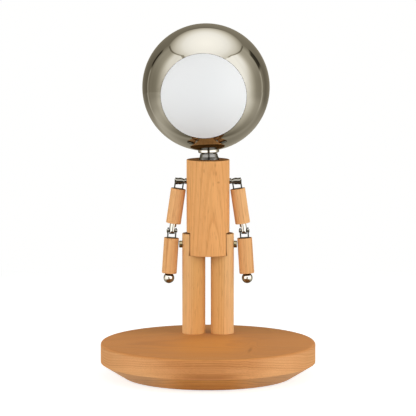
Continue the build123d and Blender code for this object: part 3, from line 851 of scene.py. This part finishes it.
def metal(name, colour, dull, patchy, scratch, depth, tarnish=None):
    """colour: clean metal; dull: its roughness; patchy: how much that varies; scratch: how many
    scratches to the metre in X, Y and Z, and depth: how deep they are; tarnish: the colour of its
    duller patches."""
    finish, tree, shader = new_finish(name, Metallic=1.0, Specular_Tint=EDGE_TINT)
    at = object_place(tree)
    patches = ramp(tree, noise(tree, at, 210.0, 3.0), (0.42, 0.0), (0.68, 1.0))
    fine = noise(tree, at, scratch, 2.0, 0.6)
    fill(shader["Base Color"], mix(tree, times(tree, patches, 0.55), colour,
                                   tarnish or times_colour(colour, 0.80)))
    worn = scaled(tree, patches, patchy, dull)
    fill(shader["Roughness"], scaled(tree, fine, 0.5 * patchy, worn))
    fill(shader["Normal"], bump(tree, fine, depth))
    return finish


print("metal recipe ready")

# %% Steel and brass
LATHE_Z, LATHE_X = (300.0, 300.0, 5000.0), (5000.0, 300.0, 300.0)
ROLLED, EVEN = (4000.0, 4000.0, 250.0), (1500.0, 1500.0, 1500.0)
ringed = metal("ringed_steel", (0.34, 0.325, 0.295), dull=0.035, patchy=0.04, scratch=LATHE_Z,
               depth=0.000002)
# painted shade: the collar's colour is kept dark for the dark under the ring that it mirrors
brushed_and_shaded = metal("brushed_shaded_steel", (0.115, 0.112, 0.106), dull=0.18, patchy=0.08, scratch=LATHE_Z,
                depth=0.000004)
turned = metal("turned_pins", (0.22, 0.212, 0.19), dull=0.10, patchy=0.07, scratch=LATHE_X,
               depth=0.000003)
rolled = metal("rolled_strip", (0.20, 0.192, 0.16), dull=0.14, patchy=0.08, scratch=ROLLED,
               depth=0.000005)
zinc = metal("zinc_screws", (0.33, 0.33, 0.32), dull=0.38, patchy=0.14, scratch=EVEN,
             depth=0.000008)
brass = metal("old_brass", (0.22, 0.188, 0.11), dull=0.20, patchy=0.12, scratch=LATHE_X,
              depth=0.000005, tarnish=(0.12, 0.10, 0.06))
wear(ringed, "neck_ring", "hand_ball_left", "hand_ball_right", "elbow_tongue_left",
     "elbow_tongue_right")
wear(brushed_and_shaded, "neck_collar")
wear(turned, "shoulder_pin_left", "shoulder_pin_right", "shoulder_sleeve_left",
     "shoulder_sleeve_right")
wear(rolled, "shoulder_bracket_left", "shoulder_bracket_right", "elbow_bracket_left",
     "elbow_bracket_right", "elbow_pin_left", "elbow_pin_right")
wear(zinc, "plate_screws", "hip_bolt", "neck_nipple", "lock_nut", "globe_nut",
     "shoulder_screw_left", "shoulder_screw_right", "elbow_screw_left", "elbow_screw_right")
wear(brass, "hip_nut_left", "hip_nut_right")

# %% [markdown]
# ## What is inside and underneath
# The lamp holder is glazed ceramic, the bulb has a white plastic foot and a frosted tube, and the
# cord goes in through a black plastic bush. A thin pressed board closes the wiring pocket. Most of
# it is out of sight, but the lamp can be taken apart, so each piece still gets its own finish.

# %% Recipe for glazed, moulded and pressed pieces
def moulded(name, colour, rough, grain, depth, spread=0.10, **even):
    """A material with no grain direction: colour and roughness vary a little, and the surface is
    finely pebbled. grain: how many pebbles to the metre; spread: how much the colour varies."""
    finish, tree, shader = new_finish(name, **even)
    at = object_place(tree)
    cloud = noise(tree, at, 70.0, 3.0)
    fill(shader["Base Color"], mix(tree, cloud, times_colour(colour, 1 - spread),
                                   times_colour(colour, 1 + spread)))
    fill(shader["Roughness"], scaled(tree, cloud, 0.5 * spread, rough))
    fill(shader["Normal"], bump(tree, noise(tree, at, grain), depth))
    return finish


ceramic = moulded("glazed_ceramic", (0.80, 0.78, 0.73), rough=0.16, grain=250.0, depth=0.00004,
                  Coat_Weight=0.5)
foot = moulded("bulb_foot", (0.80, 0.80, 0.78), rough=0.38, grain=1500.0, depth=0.00001,
               spread=0.04)
frosted = moulded("frosted_tube", (0.84, 0.85, 0.85), rough=0.45, grain=2500.0, depth=0.00001,
                  spread=0.03, Transmission_Weight=0.4)
bush = moulded("black_bush", (0.022, 0.021, 0.020), rough=0.42, grain=1800.0, depth=0.00002,
               spread=0.20)
pressed = moulded("pressed_board", (0.21, 0.125, 0.065), rough=0.70, grain=700.0, depth=0.00012,
                  spread=0.30)
for finish, name in ((ceramic, "lamp_holder"), (foot, "bulb_body"), (frosted, "bulb_tube"),
                     (bush, "cord_bush"), (pressed, "pocket_plate")):
    wear(finish, name)

# %% [markdown]
# ## Felt
# A disc of brown felt under the base protects the desk. Felt is pressed from loose wool, so its cut
# edge is soft and never quite round, and its face has tiny hairs in all directions and no weave.
# The flat CAD disc only holds its place. The felt itself is built here ring by ring: a flat
# underside that carries the lamp, a rounded edge that wanders a little, and a flat top just below
# the wood.

# %% Felt: its size and the line of its cut
low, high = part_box("felt_pad")
FELT_RADIUS, FELT_TOP = (high.x - low.x) / 2, high.z
SPOKES = 180
EDGE_FROM = 0.9  # rings that reach this far are part of the cut edge
WANDER = 0.0022  # the most that the cut strays inwards, as a share of the radius
# the section of the felt, from the underside over the edge to the top: (height, reach) as shares
SECTION = ((0.0, 0.55), (0.0, 0.985), (0.10, 0.9935), (0.35, 0.9975), (0.65, 0.9985),
           (0.88, 0.9955), (0.97, 0.988), (0.99, 0.55))


def felt_cut(angle):
    """How far the cut wanders, from 0 to 1."""
    return (0.5 + 0.25 * sin(7 * angle + 0.6) + 0.15 * sin(23 * angle + 2.1)
            + 0.10 * sin(61 * angle))


print("felt disc:", round(2000 * FELT_RADIUS), "mm across,", round(1000 * FELT_TOP, 1), "mm thick")

# %% Felt disc: a soft, slightly uneven edge
shape = bmesh.new()
rings = []
for height, reach in SECTION:
    ring = []
    for spoke in range(SPOKES):
        angle = 2 * pi * spoke / SPOKES
        wander = WANDER * felt_cut(angle) if reach > EDGE_FROM else 0.0
        radius = FELT_RADIUS * (reach - wander)
        ring.append(shape.verts.new((radius * cos(angle), radius * sin(angle), FELT_TOP * height)))
    rings.append(ring)
for lower, upper in zip(rings, rings[1:]):
    for spoke in range(SPOKES):
        after = (spoke + 1) % SPOKES
        shape.faces.new((lower[spoke], lower[after], upper[after], upper[spoke]))
shape.faces.new(reversed(rings[0]))
shape.faces.new(rings[-1])
felt_mesh = bpy.data.meshes.new("felt_disc")
shape.to_mesh(felt_mesh)
shape.free()
for face in felt_mesh.polygons:
    face.use_smooth = len(face.vertices) == 4
felt_disc = into_scene("felt_disc", felt_mesh)
print("felt disc has", len(felt_mesh.polygons), "faces")

# %% Felt: what it rides on, and how large it was cut
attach(felt_disc, "stand")
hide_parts("felt_pad")
print("felt lies under base_disc,", round(1e4 * pi * FELT_RADIUS ** 2), "square centimetres")

# %% Felt: pressed wool
DARK_WOOL, LIGHT_WOOL = (0.055, 0.032, 0.018), (0.15, 0.092, 0.052)
felt, tree, shader = new_finish("brown_felt", Sheen_Weight=0.6, Sheen_Roughness=0.5,
                                Roughness=0.95, Specular_IOR_Level=0.1)
at = object_place(tree)
wool = noise(tree, at, 1100.0, 4.0, 0.7)
clumps = noise(tree, at, 130.0, 3.0)
paleness = scaled(tree, clumps, 0.5, times(tree, wool, 0.5))
fill(shader["Base Color"], mix(tree, paleness, DARK_WOOL, LIGHT_WOOL))
fill(shader["Normal"], bump(tree, wool, 0.0004))
felt_mesh.materials.append(felt)
print(felt.name, "on", felt_disc.name)

# %% [markdown]
# ## Last checks
# Every piece must have one of the finishes made above, and any piece left bare is printed.

# %% Check the finishes
finishes = {name: piece.material_slots[0].material for name, piece in lamp.items()}
bare = [name for name, finish in finishes.items() if not finish.use_nodes and name != "felt_pad"]
print("finishes in use:", len({finish.name for finish in finishes.values()}),
      "pieces left bare:", bare or "none")
